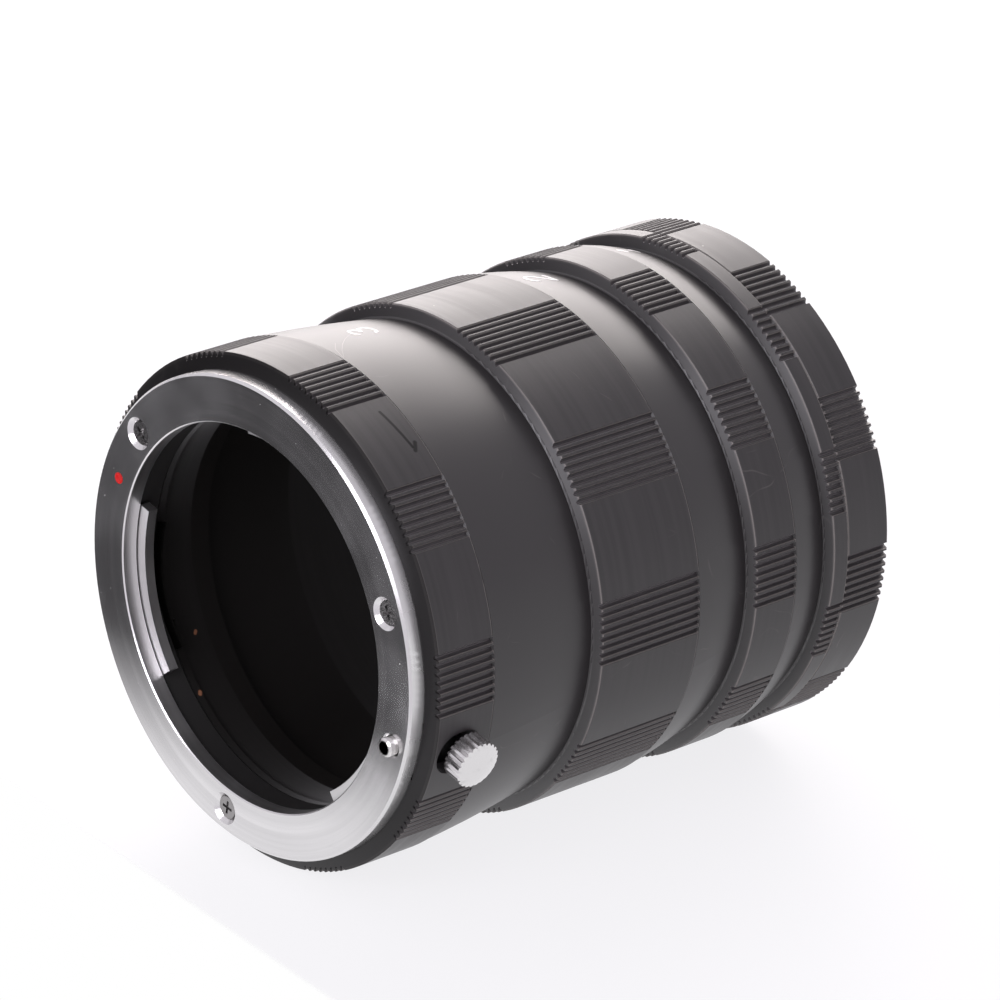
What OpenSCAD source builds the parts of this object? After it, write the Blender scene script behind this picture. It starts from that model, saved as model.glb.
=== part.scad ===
// Macro extension tube set, screwed together into one stack.
// The origin is the centre of the camera seat plane, and +Z runs forward along the optical axis.
// The stack stands on the end of its camera bayonet, with the lens flange on top.
// Angle 0 (+X) is the side with the locking pin and the release knob.

/* [Radial steps, from the throat outwards] */
// Diameter of the hole in the lens flange, which the lens lugs pass
throat_d = 47; // [46.5:0.1:47.4]
// Radial reach of the three bayonet tabs into that hole
tab_reach = 1.5; // [1.2:0.1:1.7]
// Radial step from the throat to the room behind it
undercut = 0.4; // [0.3:0.05:0.6]
// Radial wall of the collar that carries the tabs
collar_wall = 1; // [0.8:0.1:1.2]
// Radial lip of the ledge under the collar
ledge_lip = 0.9; // [0.7:0.05:0.95]
// Radial step from the collar back to the bore of the front ring
bore_step = 0.6; // [0.4:0.1:0.8]
// Radial step from that bore to the bore of the numbered tubes
tube_step = 1.7; // [1:0.1:2]
// Radial wall of the male threads
thread_wall = 2.2; // [1.6:0.1:2.4]
// Radial step from the threads to the foot of a smooth section
foot_wall = 1.15; // [0.8:0.05:1.5]
// Radial height of each shoulder, from the foot of a smooth section to its grip band
shoulder_h = 1.9; // [1:0.1:2.2]
// Radial width of the rim round the lens flange
flange_rim = 2; // [1.6:0.1:3]
// Radial width of the rim round the camera bayonet's plate
plate_rim = 2.25; // [2:0.05:3]
// Radial wall of the camera bayonet's tube
bayonet_wall = 1.6; // [1.3:0.1:2]
// Radial clearance between a male and a female bayonet
mate_clear = 0.1; // [0.05:0.05:0.2]

/* [Body] */
// Outward bulge of each smooth section over a straight taper
smooth_bulge = 0.2; // [0.05:0.05:0.3]
// Fillet at the foot of each smooth section
foot_fillet = 0.4; // [0.1:0.1:0.6]
// Chamfer on the edges of the grip bands
edge_chamfer = 0.15; // [0.05:0.05:0.3]
// Height of the bevel on the front ring, up to the lens flange
bevel_h = 0.62; // [0.4:0.02:0.8]

/* [Lengths] */
// Length of the front ring, from its rear seam to the back of the lens flange
front_ring_len = 8.85; // [8.5:0.05:10]
// Visible length of tube 3
tube_3_len = 31.65; // [24:0.05:36]
// Length of the grip band on tube 3
tube_3_grip = 15.25; // [8:0.05:18]
// Visible length of tube 2
tube_2_len = 15.5; // [13:0.05:20]
// Length of the grip band on tube 2
tube_2_grip = 6.45; // [4:0.05:8]
// Visible length of tube 1
tube_1_len = 8.45; // [8:0.05:12]
// Length of the grip band on tube 1
tube_1_grip = 2.35; // [2:0.05:3.5]
// Visible length of the rear ring
rear_ring_len = 6.5; // [6:0.1:9]

/* [Grip grooves] */
// Number of grooved patches round each band
patch_count = 10; // [6:1:12]
// Number of grooves in a patch
groove_count = 8; // [4:1:8]
// Angle from one groove to the next, in degrees
groove_pitch = 1.86; // [1.7:0.02:2.2]
// Depth of a groove
groove_depth = 0.65; // [0.3:0.05:0.8]
// Width of a groove at the surface
groove_w = 0.82; // [0.5:0.02:0.86]
// Radius of the rounded bottom of a groove
groove_bottom_r = 0.2; // [0.1:0.02:0.24]

/* [Screw joints between the rings] */
// Radial clearance of the threads
thread_clear = 0.05; // [0.02:0.01:0.1]
// Length of each male thread
thread_len = 2.7; // [2:0.1:3]
// Axial room left past the end of a male thread
thread_relief = 0.2; // [0.1:0.05:0.4]
// Lead-in chamfer of the threads
thread_chamfer = 0.3; // [0.1:0.05:0.5]

/* [Lens flange] */
// Thickness of the lens flange in front of the front ring
flange_t = 2.05; // [1.8:0.05:2.4]
// Chamfer on the outer edge of the lens flange
flange_chamfer = 0.3; // [0.1:0.05:0.5]
// Gap from the back of the throat's wall to the bayonet tabs
tab_gap = 0.15; // [0.1:0.05:0.3]
// Thickness of the bayonet tabs
tab_t = 1.3; // [1.1:0.1:1.5]
// Length of the room for the lens lugs behind the tabs
lug_room = 1.8; // [1.6:0.1:2]
// Fit clearance round the collar
collar_clear = 0.05; // [0.02:0.01:0.1]
// Thickness of the ledge behind the collar
ledge_t = 1; // [0.8:0.1:1.3]

/* [Leaf springs] */
// Thickness of the leaf springs
leaf_t = 0.25; // [0.15:0.05:0.3]
// Height of the bow of the leaf springs
leaf_bow = 0.5; // [0.3:0.05:0.7]
// Length of the leaf springs, end to end
leaf_len = 15; // [12:0.5:16]
// Width of the clamped foot of the leaf springs, in degrees
leaf_foot = 9; // [6:1:12]
// Height of the leaf springs' ends over the ledge
leaf_lift = 0.06; // [0.02:0.02:0.12]
// Radial gap between the leaf springs and the circle inside the tabs
leaf_inset = 0.3; // [0.2:0.05:0.4]
// Radial gap between the leaf springs and the collar
leaf_side = 0.15; // [0.1:0.05:0.2]

/* [Screws] */
// Radial distance of the flange screws from the throat
screw_inset = 2.8; // [2.6:0.05:3.1]
// Radial distance of the bayonet screws from the bayonet tube
rear_screw_inset = 3.7; // [3.2:0.1:4]
// Head diameter of the countersunk screws
screw_head_d = 2.8; // [2.6:0.1:3]
// Height of the rim of the heads, over their cone
head_rim = 0.15; // [0.1:0.05:0.2]
// Shank diameter of the screws
screw_d = 2; // [1.6:0.1:2]
// Depth of the screw heads below the surface
screw_sink = 0.42; // [0.3:0.02:0.5]
// Length of the flange screws
flange_screw_len = 6; // [5:0.5:7]
// Length of the bayonet screws
rear_screw_len = 3.6; // [3:0.1:4]
// Width of the cross recess in the heads
cross_w = 0.35; // [0.3:0.05:0.5]
// Length of the cross recess, as a share of the head's diameter
cross_share = 0.6; // [0.4:0.05:0.7]
// Depth of the cross recess in the heads
cross_depth = 0.4; // [0.3:0.05:0.5]

/* [Index dot] */
// Diameter of the red index dot
dot_d = 1.4; // [1:0.1:2]
// Depth of the dot in the flange
dot_depth = 0.35; // [0.2:0.05:0.5]
// Radial distance of the dot from the throat
dot_inset = 2.5; // [2.1:0.1:3.1]
// Height of the dot over the flange face
dot_proud = 0.05; // [0:0.01:0.1]

/* [Locking pin and release knob] */
// Radial distance of the locking pin from the throat
pin_inset = 3.2; // [3.1:0.05:3.4]
// Diameter of the locking pin
pin_d = 2.3; // [2:0.1:2.4]
// Height of the pin over the flange face
pin_proud = 1.05; // [0.8:0.05:1.4]
// Diameter of the blind hole in the pin's tip
pin_hole_d = 1.5; // [1:0.1:1.6]
// Depth of that hole
pin_hole_depth = 1.6; // [1:0.1:3]
// Chamfer on the pin's tip and round its hole in the flange
pin_chamfer = 0.25; // [0.1:0.05:0.3]
// Length of the slider under the foot of the pin
pin_seat = 1; // [0.8:0.1:1.5]
// Radial clearance of the pin in the flange
pin_clear = 0.06; // [0.02:0.01:0.1]
// Travel of the knob and the pin
release_travel = 1.5; // [1.3:0.1:1.6]
// Depth of the knob's axis below the flange face
knob_depth = 6.8; // [6.7:0.05:6.9]
// Outer diameter of the knob
knob_d = 5.9; // [5:0.1:6.4]
// Height of the fluted side of the knob
knob_side = 2.4; // [2:0.1:3]
// Height of the knob's domed end
knob_dome = 0.75; // [0.4:0.1:1]
// Clearance under the knob, over the grip bands
knob_gap = 0.5; // [0.4:0.05:0.6]
// Number of flutes round the knob
knob_flutes = 24; // [16:1:28]
// Depth of the knob's flutes
knob_flute_depth = 0.24; // [0.1:0.02:0.3]
// Stem diameter of the knob
stem_d = 2; // [1.6:0.1:2.2]
// Width of the window that the stem travels in
window_w = 5.6; // [4:0.1:6]
// Wall left between that window and the lens flange
window_wall = 1.1; // [0.9:0.05:1.3]
// Clearance at the end of the stem's travel
stem_clear = 0.15; // [0.1:0.05:0.2]
// Radial thickness of the slider that carries the pin
slider_t = 3.2; // [3:0.1:3.3]
// Width of the slider
slider_w = 7.7; // [7.4:0.1:7.8]
// Distance of the slider's outer face behind the pin's axis
slider_back = 2.2; // [2:0.1:2.4]
// Length of the slider below the knob's stem
slider_foot = 0.35; // [0.2:0.05:0.5]
// Gap from the slider to the lens flange
slider_head_gap = 0.1; // [0.05:0.05:0.2]
// Wall over the springs' holes in the slider
slider_roof = 1.2; // [1:0.1:2]
// Wall beside the springs' holes in the slider
slider_cheek = 0.35; // [0.2:0.05:0.5]
// Clearance of the slider in its pocket
slider_clear = 0.2; // [0.1:0.05:0.25]
// Wire diameter of the pin springs
wire_d = 0.3; // [0.2:0.05:0.4]
// Outer diameter of the pin springs
spring_d = 1.9; // [1.6:0.1:2]
// Number of turns of the pin springs
spring_turns = 6; // [4:1:8]
// Radial clearance of the springs in their holes
spring_clear = 0.1; // [0.05:0.05:0.2]

/* [Camera bayonet] */
// Thickness of the camera bayonet's plate
plate_t = 1.5; // [1.3:0.1:2]
// Length of the bayonet tube behind the seat plane
bayonet_len = 5; // [4.8:0.1:5]
// Thickness of the bayonet lugs
lug_t = 1.4; // [1.2:0.1:1.5]
// Clearance between the bayonet bore and the rear ring's web
web_clear = 0.6; // [0.3:0.1:1]
// Floor left under the hole for a camera's locking pin
notch_floor = 0.3; // [0.2:0.1:0.5]

/* [Hidden] */
eps = 0.01;
over = 1;
round_fn = 180;
small_fn = 32;

// Radii, from the throat outwards
throat_r = throat_d / 2;
tab_r = throat_r - tab_reach;
room_r = throat_r + undercut;
collar_r = room_r + collar_wall;
ledge_r = collar_r - ledge_lip;
front_bore_r = collar_r - bore_step;
tube_bore_r = front_bore_r + tube_step;
thread_r = tube_bore_r + thread_wall;
foot_r = thread_r + foot_wall;
body_r = foot_r + shoulder_h;
flange_r = body_r - flange_rim;
plate_r = body_r - plate_rim;
bayonet_r = tab_r - mate_clear;
bayonet_bore_r = bayonet_r - bayonet_wall;
lug_r = throat_r - mate_clear;
socket_r = thread_r + thread_clear;
socket_len = thread_len + thread_relief;
screw_circle_r = throat_r + screw_inset;
rear_circle_r = bayonet_r + rear_screw_inset;
pin_at_r = throat_r + pin_inset;
dot_r = throat_r + dot_inset;
screw_r = screw_d / 2;
head_r = screw_head_d / 2;
pin_r = pin_d / 2;
stem_r = stem_d / 2;
fit_gap = 0.03;

// Heights of the seams over the camera seat plane
rear_ring_z = plate_t;
tube_1_z = rear_ring_z + rear_ring_len;
tube_2_z = tube_1_z + tube_1_len;
tube_3_z = tube_2_z + tube_2_len;
front_ring_z = tube_3_z + tube_3_len;
flange_z = front_ring_z + front_ring_len;
face_z = flange_z + flange_t;

// Heights inside the front ring
tab_top_z = flange_z - tab_gap;
tab_bottom_z = tab_top_z - tab_t;
collar_end_z = tab_bottom_z - lug_room;
ledge_top_z = collar_end_z - leaf_t;
ledge_z = ledge_top_z - ledge_t;

// First patch angle of each band
front_ring_phase = 17.4;
tube_3_phase = 16.3;
tube_2_phase = 17.1;
tube_1_phase = 32.4;
rear_ring_phase = 7.8;

// Start and end angles of the bayonet tabs, and the middles of the gaps between them
tab_arcs = [[65, 111], [179, 232], [319, 365]];
gap_middles = [35, 145, 275.5];
lock_turn = 60;
lug_span = 48;
screw_angles = [35, 155, 275];
rear_screw_angles = [60, 180, 300];
dot_angle = 172.2;

// Release mechanism
knob_z = face_z - knob_depth;
knob_base = body_r + knob_gap;
slider_out = pin_at_r + slider_back;
slider_in = slider_out - slider_t;
slider_top_z = flange_z - slider_head_gap;
slider_low_z = knob_z - stem_r - slider_foot;
pocket_floor_z = slider_low_z - release_travel - slider_clear;
stem_end = pin_at_r + pin_r + stem_clear;
spring_x = slider_in + slider_t / 2;
spring_y = slider_w / 2 - spring_d / 2 - slider_cheek;
spring_bore_r = spring_d / 2 + spring_clear;
spring_top_z = slider_top_z - slider_roof;

module ring(r_out, r_in, h) {
    difference() {
        cylinder(r = r_out, h = h, $fn = round_fn);
        translate([0, 0, -over]) cylinder(r = r_in, h = h + 2 * over, $fn = round_fn);
    }
}

// Pie slice between two angles, used to cut rings into arcs
module wedge(a0, a1, r, h) {
    mid = (a0 + a1) / 2;
    linear_extrude(h) polygon([[0, 0], for (a = [a0, mid, a1]) 2 * r * [cos(a), sin(a)]]);
}

// Section of one groove, with its mouth on the surface at x = 0
module groove_section() {
    bottom_x = groove_bottom_r - groove_depth;
    slope = (groove_w / 2 - groove_bottom_r) / -bottom_x;
    mouth = groove_w / 2 + slope * over;
    polygon([
        [bottom_x, -groove_bottom_r], [over, -mouth], [over, mouth], [bottom_x, groove_bottom_r]
    ]);
    translate([bottom_x, 0]) circle(r = groove_bottom_r, $fn = 16);
}

// All the grooves of one band, over the stated heights
module grip_grooves(z0, z1, phase) {
    translate([0, 0, z0]) linear_extrude(z1 - z0)
        for (patch = [0 : patch_count - 1], i = [0 : groove_count - 1])
            rotate(phase + patch * 360 / patch_count + (i - (groove_count - 1) / 2) * groove_pitch)
                translate([body_r, 0]) groove_section();
}

// Outline of a band with chamfered outer edges
module band_outline(r_in, z0, z1) {
    c = edge_chamfer;
    polygon([
        [r_in, z0], [body_r - c, z0], [body_r, z0 + c], [body_r, z1 - c], [body_r - c, z1], [r_in, z1]
    ]);
}

// Outline of the front ring's band, with a bevel up to the lens flange
module front_outline(r_in, z0, z1) {
    c = edge_chamfer;
    polygon([
        [r_in, z0], [body_r - c, z0], [body_r, z0 + c], [body_r, z1 - bevel_h],
        [flange_r + c, z1], [r_in, z1]
    ]);
}

// Outline of a smooth section: a taper from its foot to the seam, bulged to a shallow arc
module smooth_outline(r_in, z0, z1) {
    foot = [foot_r, z0];
    top = [body_r - edge_chamfer / 2, z1];
    chord = norm(top - foot);
    along = (top - foot) / chord;
    out = [along[1], -along[0]];
    arc_r = chord * chord / (8 * smooth_bulge) + smooth_bulge / 2;
    centre = (foot + top) / 2 - out * (arc_r - smooth_bulge);
    polygon([[r_in, z0 - eps], [foot_r, z0 - eps], foot, top, [r_in, z1]]);
    intersection() {
        translate(centre) circle(r = arc_r, $fn = 1440);
        polygon([foot, foot + out * 2 * smooth_bulge, top + out * 2 * smooth_bulge, top]);
    }
    translate(foot - [eps, eps]) difference() {
        square(foot_fillet);
        translate([foot_fillet, foot_fillet]) circle(r = foot_fillet, $fn = small_fn);
    }
}

// Outline of a male thread that points backwards from the seam at z
module male_outline(r_in, z) {
    c = thread_chamfer;
    polygon([
        [r_in, z + eps], [r_in, z - thread_len], [thread_r - c, z - thread_len],
        [thread_r, z - thread_len + c], [thread_r, z + eps]
    ]);
}

// Outline of the room for a male thread, which opens forwards at the seam at z
module socket_outline(z) {
    c = thread_chamfer;
    polygon([
        [0, z - socket_len], [socket_r, z - socket_len], [socket_r, z - c], [socket_r + c, z],
        [socket_r + c, z + over], [0, z + over]
    ]);
}

// One numbered tube: grip band at the back, smooth section, male thread behind and socket in front
module numbered_tube(z, len, grip, phase) {
    difference() {
        rotate_extrude($fn = round_fn) difference() {
            union() {
                band_outline(tube_bore_r, z, z + grip);
                smooth_outline(tube_bore_r, z + grip, z + len);
                male_outline(tube_bore_r, z);
            }
            socket_outline(z + len);
        }
        grip_grooves(z - over, z + grip + over / 2, phase);
    }
}

// Countersunk screw with a cross recess, its head's face at z = 0 and its shank below
module countersunk_screw(len) {
    cone_h = head_r - screw_r;
    cross_len = 2 * head_r * cross_share;
    difference() {
        union() {
            translate([0, 0, -head_rim]) cylinder(r = head_r, h = head_rim, $fn = small_fn);
            translate([0, 0, -head_rim - cone_h])
                cylinder(r1 = screw_r, r2 = head_r, h = cone_h, $fn = small_fn);
            translate([0, 0, -len]) cylinder(r = screw_r, h = len - head_rim, $fn = small_fn);
        }
        for (a = [0, 90]) rotate(a)
            translate([-cross_len / 2, -cross_w / 2, -cross_depth])
                cube([cross_len, cross_w, cross_depth + over]);
    }
}

// Room for such a screw: a countersink that opens to the surface, and a fit gap round the shank
module screw_room(len) {
    cone_h = head_r - screw_r + head_rim + screw_sink + over;
    translate([0, 0, screw_r - head_r - head_rim])
        cylinder(r1 = screw_r + fit_gap, r2 = screw_r + fit_gap + cone_h, h = cone_h, $fn = small_fn);
    translate([0, 0, -len - fit_gap]) cylinder(r = screw_r + fit_gap, h = len, $fn = small_fn);
}

module at_flange_screw(i) {
    rotate(screw_angles[i]) translate([screw_circle_r, 0, face_z - screw_sink]) children();
}

module at_rear_screw(i) {
    rotate(rear_screw_angles[i]) translate([rear_circle_r, 0, screw_sink])
        mirror([0, 0, 1]) children();
}

// Black front ring: grip band, seat for the lens flange, pocket for the pin and recess for the knob
module front_ring() {
    bore_end_z = front_ring_z - thread_len - over;
    window_r = window_w / 2;
    window_top = flange_z - window_wall - window_r;
    end_gap = window_r - sqrt(window_r * window_r - stem_r * stem_r);
    window_low = knob_z - release_travel - stem_r - stem_clear - end_gap + window_r;
    color([0.17, 0.16, 0.16]) difference() {
        rotate_extrude($fn = round_fn) difference() {
            union() {
                front_outline(ledge_r, front_ring_z, flange_z);
                male_outline(ledge_r, front_ring_z);
            }
            translate([0, bore_end_z]) square([front_bore_r, ledge_z - bore_end_z]);
            translate([0, ledge_top_z]) square([collar_r + collar_clear, flange_z - ledge_top_z + over]);
        }
        grip_grooves(front_ring_z - over, flange_z + over, front_ring_phase);
        for (i = [0 : 2]) at_flange_screw(i) screw_room(flange_screw_len);
        translate([slider_in - slider_clear, -slider_w / 2 - slider_clear, pocket_floor_z])
            cube([slider_t + 2 * slider_clear, slider_w + 2 * slider_clear, front_ring_len]);
        translate([slider_out - over, -window_r, window_low])
            cube([body_r - slider_out + 2 * over, window_w, window_top - window_low]);
        for (z = [window_low, window_top])
            translate([slider_out - over, 0, z]) rotate([0, 90, 0])
                cylinder(r = window_r, h = body_r - slider_out + 2 * over, $fn = 64);
    }
}

// Bright lens flange: flat ring, collar and three bayonet tabs in one piece
module lens_flange() {
    c = flange_chamfer;
    hole_r = pin_r + pin_clear;
    color([0.78, 0.78, 0.77]) difference() {
        union() {
            rotate_extrude($fn = round_fn) polygon([
                [throat_r + c / 2, face_z], [flange_r - c, face_z], [flange_r, face_z - c],
                [flange_r, flange_z], [collar_r, flange_z], [collar_r, collar_end_z],
                [room_r, collar_end_z], [room_r, flange_z], [throat_r, flange_z], [throat_r, face_z - c / 2]
            ]);
            for (arc = tab_arcs)
                translate([0, 0, tab_bottom_z]) intersection() {
                    ring(room_r + collar_wall / 2, tab_r, tab_t);
                    wedge(arc[0], arc[1], collar_r, tab_t);
                }
        }
        for (i = [0 : 2]) at_flange_screw(i) screw_room(flange_screw_len);
        translate([pin_at_r, 0, flange_z - over])
            cylinder(r = hole_r, h = flange_t + 2 * over, $fn = small_fn);
        translate([pin_at_r, 0, face_z - pin_chamfer])
            cylinder(r1 = hole_r, r2 = hole_r + pin_chamfer + over, h = pin_chamfer + over, $fn = small_fn);
        rotate(dot_angle) translate([dot_r, 0, face_z - dot_depth])
            cylinder(r = dot_d / 2 + fit_gap, h = dot_depth + over, $fn = small_fn);
    }
}

module flange_screw(i) {
    color([0.62, 0.62, 0.61]) at_flange_screw(i) countersunk_screw(flange_screw_len);
}

// Red index dot, sunk in the flange face
module index_dot() {
    color([0.85, 0.1, 0.1]) rotate(dot_angle) translate([dot_r, 0, face_z - dot_depth])
        cylinder(r = dot_d / 2, h = dot_depth + dot_proud, $fn = small_fn);
}

// Bowed leaf spring behind one bayonet tab, with a flat foot clamped between collar and ledge
module leaf_spring(i) {
    half = leaf_len / 2;
    bow_r = (half * half + leaf_bow * leaf_bow) / (2 * leaf_bow);
    mid = (tab_arcs[i][0] + tab_arcs[i][1]) / 2;
    inner_r = tab_r + leaf_inset;
    end_angle = asin(half / inner_r) + leaf_foot / 8;
    color([0.55, 0.54, 0.5]) {
        intersection() {
            translate([0, 0, ledge_top_z]) ring(room_r - leaf_side, inner_r, leaf_bow + 2 * leaf_t);
            rotate(mid) translate([0, 0, ledge_top_z + leaf_bow + leaf_lift - bow_r])
                rotate([0, 90, 0]) linear_extrude(body_r) intersection() {
                    difference() {
                        circle(r = bow_r + leaf_t, $fn = 720);
                        circle(r = bow_r, $fn = 720);
                    }
                    translate([-bow_r - over, -half]) square([over + leaf_bow + leaf_t, leaf_len]);
                }
        }
        intersection() {
            translate([0, 0, ledge_top_z]) ring(collar_r - leaf_side, inner_r, leaf_t);
            translate([0, 0, ledge_top_z])
                wedge(mid + end_angle - leaf_foot, mid + end_angle, collar_r, leaf_t);
        }
    }
}

// Sprung locking pin with a chamfered, hollow tip
module lock_pin() {
    low_z = slider_low_z + pin_seat;
    top_z = face_z + pin_proud;
    color([0.8, 0.8, 0.79]) translate([pin_at_r, 0, 0]) difference() {
        union() {
            translate([0, 0, low_z]) cylinder(r = pin_r, h = top_z - pin_chamfer - low_z, $fn = small_fn);
            translate([0, 0, top_z - pin_chamfer])
                cylinder(r1 = pin_r, r2 = pin_r - pin_chamfer, h = pin_chamfer, $fn = small_fn);
        }
        translate([0, 0, top_z - pin_hole_depth])
            cylinder(r = pin_hole_d / 2, h = pin_hole_depth + over, $fn = small_fn);
    }
}

// Slider in the front ring's pocket: it joins the knob's stem to the locking pin
module pin_slider() {
    color([0.2, 0.2, 0.2]) difference() {
        translate([slider_in, -slider_w / 2, slider_low_z])
            cube([slider_t, slider_w, slider_top_z - slider_low_z]);
        translate([pin_at_r, 0, slider_low_z + pin_seat - fit_gap])
            cylinder(r = pin_r + fit_gap, h = front_ring_len, $fn = small_fn);
        translate([stem_end - fit_gap, 0, knob_z]) rotate([0, 90, 0])
            cylinder(r = stem_r + fit_gap, h = slider_t, $fn = small_fn);
        for (side = [-1, 1])
            translate([spring_x, side * spring_y, slider_low_z - over])
                cylinder(r = spring_bore_r, h = spring_top_z - slider_low_z + over, $fn = small_fn);
    }
}

// Tube swept along a helix, with closed ends
module helix_wire(r, wire_r, length, turns) {
    steps = 12;
    sides = 6;
    count = turns * steps;
    rings = [
        for (i = [0 : count]) let (a = 360 * i / steps, z = wire_r + (length - 2 * wire_r) * i / count)
            [for (j = [0 : sides - 1]) let (b = 360 * j / sides, rr = r + wire_r * cos(b))
                [rr * cos(a), rr * sin(a), z + wire_r * sin(b)]]
    ];
    points = [for (one = rings) each one];
    skin = [
        for (i = [0 : count - 1], j = [0 : sides - 1]) let (k = (j + 1) % sides)
            [i * sides + j, i * sides + k, (i + 1) * sides + k, (i + 1) * sides + j]
    ];
    low = [for (j = [0 : sides - 1]) sides - 1 - j];
    high = [for (j = [0 : sides - 1]) count * sides + j];
    polyhedron(points = points, faces = concat(skin, [low], [high]), convexity = 8);
}

// Compression spring between the pocket floor and the slider
module pin_spring(side) {
    color([0.66, 0.66, 0.64]) translate([spring_x, side * spring_y, pocket_floor_z])
        helix_wire((spring_d - wire_d) / 2, wire_d / 2, spring_top_z - pocket_floor_z, spring_turns);
}

// Turned release knob with a fluted side, a domed end and a stem
module release_knob() {
    knob_r = knob_d / 2;
    dome_r = (knob_r * knob_r + knob_dome * knob_dome) / (2 * knob_dome);
    side_h = knob_side + knob_dome;
    flute = knob_flute_depth * sqrt(2);
    color([0.85, 0.85, 0.84]) translate([0, 0, knob_z]) rotate([0, 90, 0]) {
        difference() {
            intersection() {
                translate([0, 0, knob_base]) cylinder(r = knob_r, h = side_h, $fn = 96);
                translate([0, 0, knob_base + side_h - dome_r]) sphere(r = dome_r, $fn = 96);
            }
            for (i = [0 : knob_flutes - 1]) rotate(360 * i / knob_flutes)
                translate([knob_r, 0, knob_base - over]) rotate(45)
                    cube([flute, flute, 2 * (side_h + 2 * over)], center = true);
        }
        translate([0, 0, stem_end]) cylinder(r = stem_r, h = knob_base + eps - stem_end, $fn = small_fn);
    }
}

module tube_3() {
    color([0.17, 0.16, 0.16]) numbered_tube(tube_3_z, tube_3_len, tube_3_grip, tube_3_phase);
}

module tube_2() {
    color([0.17, 0.16, 0.16]) numbered_tube(tube_2_z, tube_2_len, tube_2_grip, tube_2_phase);
}

module tube_1() {
    color([0.17, 0.16, 0.16]) numbered_tube(tube_1_z, tube_1_len, tube_1_grip, tube_1_phase);
}

// Black rear ring: grip band, socket for tube 1 and a web that carries the camera bayonet
module rear_ring() {
    web_r = bayonet_bore_r + web_clear;
    color([0.17, 0.16, 0.16]) difference() {
        rotate_extrude($fn = round_fn) difference() {
            band_outline(web_r, rear_ring_z, tube_1_z);
            socket_outline(tube_1_z);
        }
        grip_grooves(rear_ring_z - over, tube_1_z + over, rear_ring_phase);
        for (i = [0 : 2]) at_rear_screw(i) screw_room(rear_screw_len);
    }
}

// Bright camera bayonet: plate, tube and three lugs in one piece
module camera_bayonet() {
    c = flange_chamfer;
    half = lug_span / 2;
    color([0.78, 0.78, 0.77]) difference() {
        union() {
            rotate_extrude($fn = round_fn) polygon([
                [bayonet_bore_r, plate_t], [plate_r, plate_t], [plate_r, c], [plate_r - c, 0],
                [bayonet_r, 0], [bayonet_r, c - bayonet_len], [bayonet_r - c, -bayonet_len],
                [bayonet_bore_r, -bayonet_len]
            ]);
            for (middle = gap_middles)
                translate([0, 0, -bayonet_len + c]) intersection() {
                    ring(lug_r, bayonet_r - bayonet_wall / 2, lug_t);
                    wedge(middle + lock_turn - half, middle + lock_turn + half, lug_r, lug_t);
                }
        }
        for (i = [0 : 2]) at_rear_screw(i) screw_room(rear_screw_len);
        translate([pin_at_r, 0, -over])
            cylinder(r = pin_r + pin_clear, h = plate_t - notch_floor + over, $fn = small_fn);
    }
}

module bayonet_screw(i) {
    color([0.62, 0.62, 0.61]) at_rear_screw(i) countersunk_screw(rear_screw_len);
}

front_ring();
lens_flange();
flange_screw(0);  // flange_screw_1
flange_screw(1);  // flange_screw_2
flange_screw(2);  // flange_screw_3
index_dot();
leaf_spring(0);  // leaf_spring_1
leaf_spring(1);  // leaf_spring_2
leaf_spring(2);  // leaf_spring_3
lock_pin();
pin_slider();
pin_spring(-1);  // pin_spring_1
pin_spring(1);  // pin_spring_2
release_knob();
tube_3();
tube_2();
tube_1();
rear_ring();
camera_bayonet();
bayonet_screw(0);  // bayonet_screw_1
bayonet_screw(1);  // bayonet_screw_2
bayonet_screw(2);  // bayonet_screw_3
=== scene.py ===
"""Looks of a screwed stack of macro extension tubes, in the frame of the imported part."""

import logging
import math
from dataclasses import dataclass, field
from enum import Enum
from typing import Sequence

import bmesh
import bpy
from mathutils import Matrix, Vector


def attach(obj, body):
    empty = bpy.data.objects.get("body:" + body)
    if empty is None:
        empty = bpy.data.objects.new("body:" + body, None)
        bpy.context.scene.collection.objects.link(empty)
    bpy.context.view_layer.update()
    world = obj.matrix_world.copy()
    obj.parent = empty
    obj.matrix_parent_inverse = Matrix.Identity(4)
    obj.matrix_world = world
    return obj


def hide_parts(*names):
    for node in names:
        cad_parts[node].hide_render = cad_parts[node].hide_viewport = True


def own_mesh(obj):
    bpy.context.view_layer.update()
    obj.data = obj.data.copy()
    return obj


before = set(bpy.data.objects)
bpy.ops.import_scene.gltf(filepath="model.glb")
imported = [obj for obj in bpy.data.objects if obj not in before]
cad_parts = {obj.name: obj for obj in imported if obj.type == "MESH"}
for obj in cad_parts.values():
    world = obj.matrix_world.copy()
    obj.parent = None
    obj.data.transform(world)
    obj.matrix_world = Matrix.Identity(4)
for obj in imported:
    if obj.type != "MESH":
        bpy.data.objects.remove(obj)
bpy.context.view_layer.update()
MM = 0.001
PER_METRE = 1000.0
DEGREES = 180 / math.pi
QUARTER_TURN = 0.25
Material = bpy.types.Material
Node = bpy.types.Node
Socket = bpy.types.NodeSocket
Pair = tuple[float, float]
Place = tuple[float, float, float]
Colour = tuple[float, float, float]
SCREW_COLOUR: Colour = (0.33, 0.32, 0.32)
log = logging.getLogger("extension_tube")


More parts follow.
